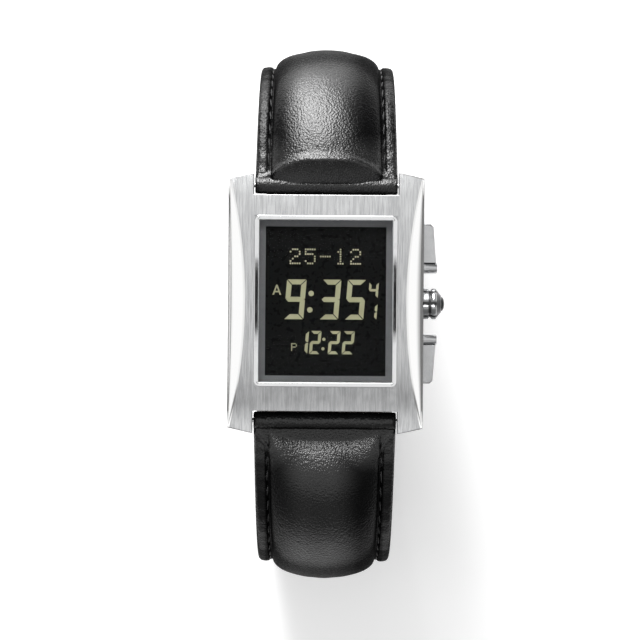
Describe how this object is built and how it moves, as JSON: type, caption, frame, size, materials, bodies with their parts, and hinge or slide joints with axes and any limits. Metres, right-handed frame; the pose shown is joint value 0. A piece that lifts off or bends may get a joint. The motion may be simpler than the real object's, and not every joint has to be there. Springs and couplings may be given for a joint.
{
  "type": "wristwatch",
  "caption": "Rectangular steel digital wristwatch with a dark display, side pushers, a fluted crown and a padded black leather strap, buckled as a closed loop.",
  "frame": {"origin": "on the table under the middle of the dial, on the flat bottom of the fixed keeper, with the buckled watch standing dial up", "axes": "+Z out of the dial, +Y towards 12 o'clock, +X towards the crown"},
  "size_m": [0.0366, 0.0907, 0.0506],
  "materials": {
    "brushed_steel": "lengthwise brushed, with polished side facets",
    "polished_steel": "polished",
    "spring_steel": "drawn",
    "gold_plate": "satin",
    "black_leather": "smooth fine grain, semi-gloss",
    "lining_leather": "matt",
    "padding_felt": "matt",
    "clear_glass": "clear polished",
    "display_glass": "dark glass with pale segments",
    "grey_frame": "satin grey",
    "black_rubber": "matt",
    "zebra_rubber": "matt",
    "dark_plastic": "moulded",
    "pale_plastic": "moulded",
    "green_board": "solder mask",
    "ceramic": "fired",
    "black_stone": "polished cabochon"
  },
  "bodies": {
    "watch": {"case_body": "brushed_steel", "lip_ring": "polished_steel", "crystal": "clear_glass", "display_mask": "grey_frame", "crystal_gasket": "black_rubber", "lcd_upper_glass": "display_glass", "lcd_lower_glass": "display_glass", "module_frame": "dark_plastic", "backlight_panel": "pale_plastic", "zebra_strip_upper": "zebra_rubber", "zebra_strip_lower": "zebra_rubber", "circuit_board": "green_board", "controller_chip": "dark_plastic", "quartz_resonator": "polished_steel", "capacitor": "ceramic", "battery_cell": "polished_steel", "battery_contact": "gold_plate", "battery_clip": "spring_steel", "buzzer_disc": "gold_plate", "buzzer_spring": "spring_steel", "switch_spring": "gold_plate", "case_back": "brushed_steel", "case_back_gasket": "black_rubber", "case_back_screw_1": "polished_steel", "case_back_screw_2": "polished_steel", "case_back_screw_3": "polished_steel", "case_back_screw_4": "polished_steel", "pusher_upper_spring": "spring_steel", "pusher_upper_seal": "black_rubber", "pusher_lower_spring": "spring_steel", "pusher_lower_seal": "black_rubber", "crown_tube": "polished_steel", "crown_seal": "black_rubber", "crown_spring": "spring_steel", "bar_upper_barrel": "spring_steel", "bar_lower_barrel": "spring_steel", "strap_upper_leather": "black_leather", "strap_upper_padding": "padding_felt", "strap_upper_lining": "lining_leather", "strap_lower_leather": "black_leather", "strap_lower_padding": "padding_felt", "strap_lower_lining": "lining_leather", "keeper_fixed": "black_leather"},
    "pusher_upper": {"pusher_upper": "brushed_steel", "pusher_upper_clip": "spring_steel"},
    "pusher_lower": {"pusher_lower": "brushed_steel", "pusher_lower_clip": "spring_steel"},
    "crown_plunger": {"crown_washer": "spring_steel"},
    "crown": {"crown_head": "polished_steel", "crown_stone": "black_stone", "crown_stem": "spring_steel", "crown_clip": "spring_steel"},
    "bar_upper_left": {"bar_upper_pin_left": "polished_steel"},
    "bar_upper_right": {"bar_upper_pin_right": "polished_steel"},
    "bar_lower_left": {"bar_lower_pin_left": "polished_steel"},
    "bar_lower_right": {"bar_lower_pin_right": "polished_steel"},
    "buckle": {"buckle_frame": "polished_steel", "buckle_bar": "spring_steel"},
    "tongue": {"buckle_tongue": "polished_steel"},
    "sliding_keeper": {"keeper_sliding": "black_leather"}
  },
  "joints": [
    {"name": "pusher_upper_press", "type": "slide", "parent": "watch", "child": "pusher_upper", "axis": [-1, 0, 0], "range_m": [0, 0.0009], "stiffness_N_per_m": 800, "deforming": ["pusher_upper_spring"]},
    {"name": "pusher_lower_press", "type": "slide", "parent": "watch", "child": "pusher_lower", "axis": [-1, 0, 0], "range_m": [0, 0.0009], "stiffness_N_per_m": 800, "deforming": ["pusher_lower_spring"]},
    {"name": "crown_press", "type": "slide", "parent": "watch", "child": "crown_plunger", "axis": [-1, 0, 0], "range_m": [0, 0.0008], "stiffness_N_per_m": 800, "deforming": ["crown_spring"]},
    {"name": "crown_turn", "type": "hinge", "parent": "crown_plunger", "child": "crown", "pos_m": [0.0165, 0, 0.04594], "axis": [1, 0, 0], "continuous": true},
    {"name": "bar_upper_left_pin", "type": "slide", "parent": "watch", "child": "bar_upper_left", "axis": [1, 0, 0], "range_m": [0, 0.0015], "stiffness_N_per_m": 500},
    {"name": "bar_upper_right_pin", "type": "slide", "parent": "watch", "child": "bar_upper_right", "axis": [-1, 0, 0], "range_m": [0, 0.0015], "stiffness_N_per_m": 500},
    {"name": "bar_lower_left_pin", "type": "slide", "parent": "watch", "child": "bar_lower_left", "axis": [1, 0, 0], "range_m": [0, 0.0015], "stiffness_N_per_m": 500},
    {"name": "bar_lower_right_pin", "type": "slide", "parent": "watch", "child": "bar_lower_right", "axis": [-1, 0, 0], "range_m": [0, 0.0015], "stiffness_N_per_m": 500},
    {"name": "buckle_swing", "type": "hinge", "parent": "watch", "child": "buckle", "pos_m": [0, -0.005, 0.0053], "axis": [1, 0, 0], "range_deg": [0, 3]},
    {"name": "tongue_lift", "type": "hinge", "parent": "buckle", "child": "tongue", "pos_m": [0, -0.005, 0.0053], "axis": [1, 0, 0], "range_deg": [0, 4]},
    {"name": "keeper_slide", "type": "slide", "parent": "watch", "child": "sliding_keeper", "axis": [0, 1, 0], "range_m": [-0.003, 0.0025]}
  ]
}
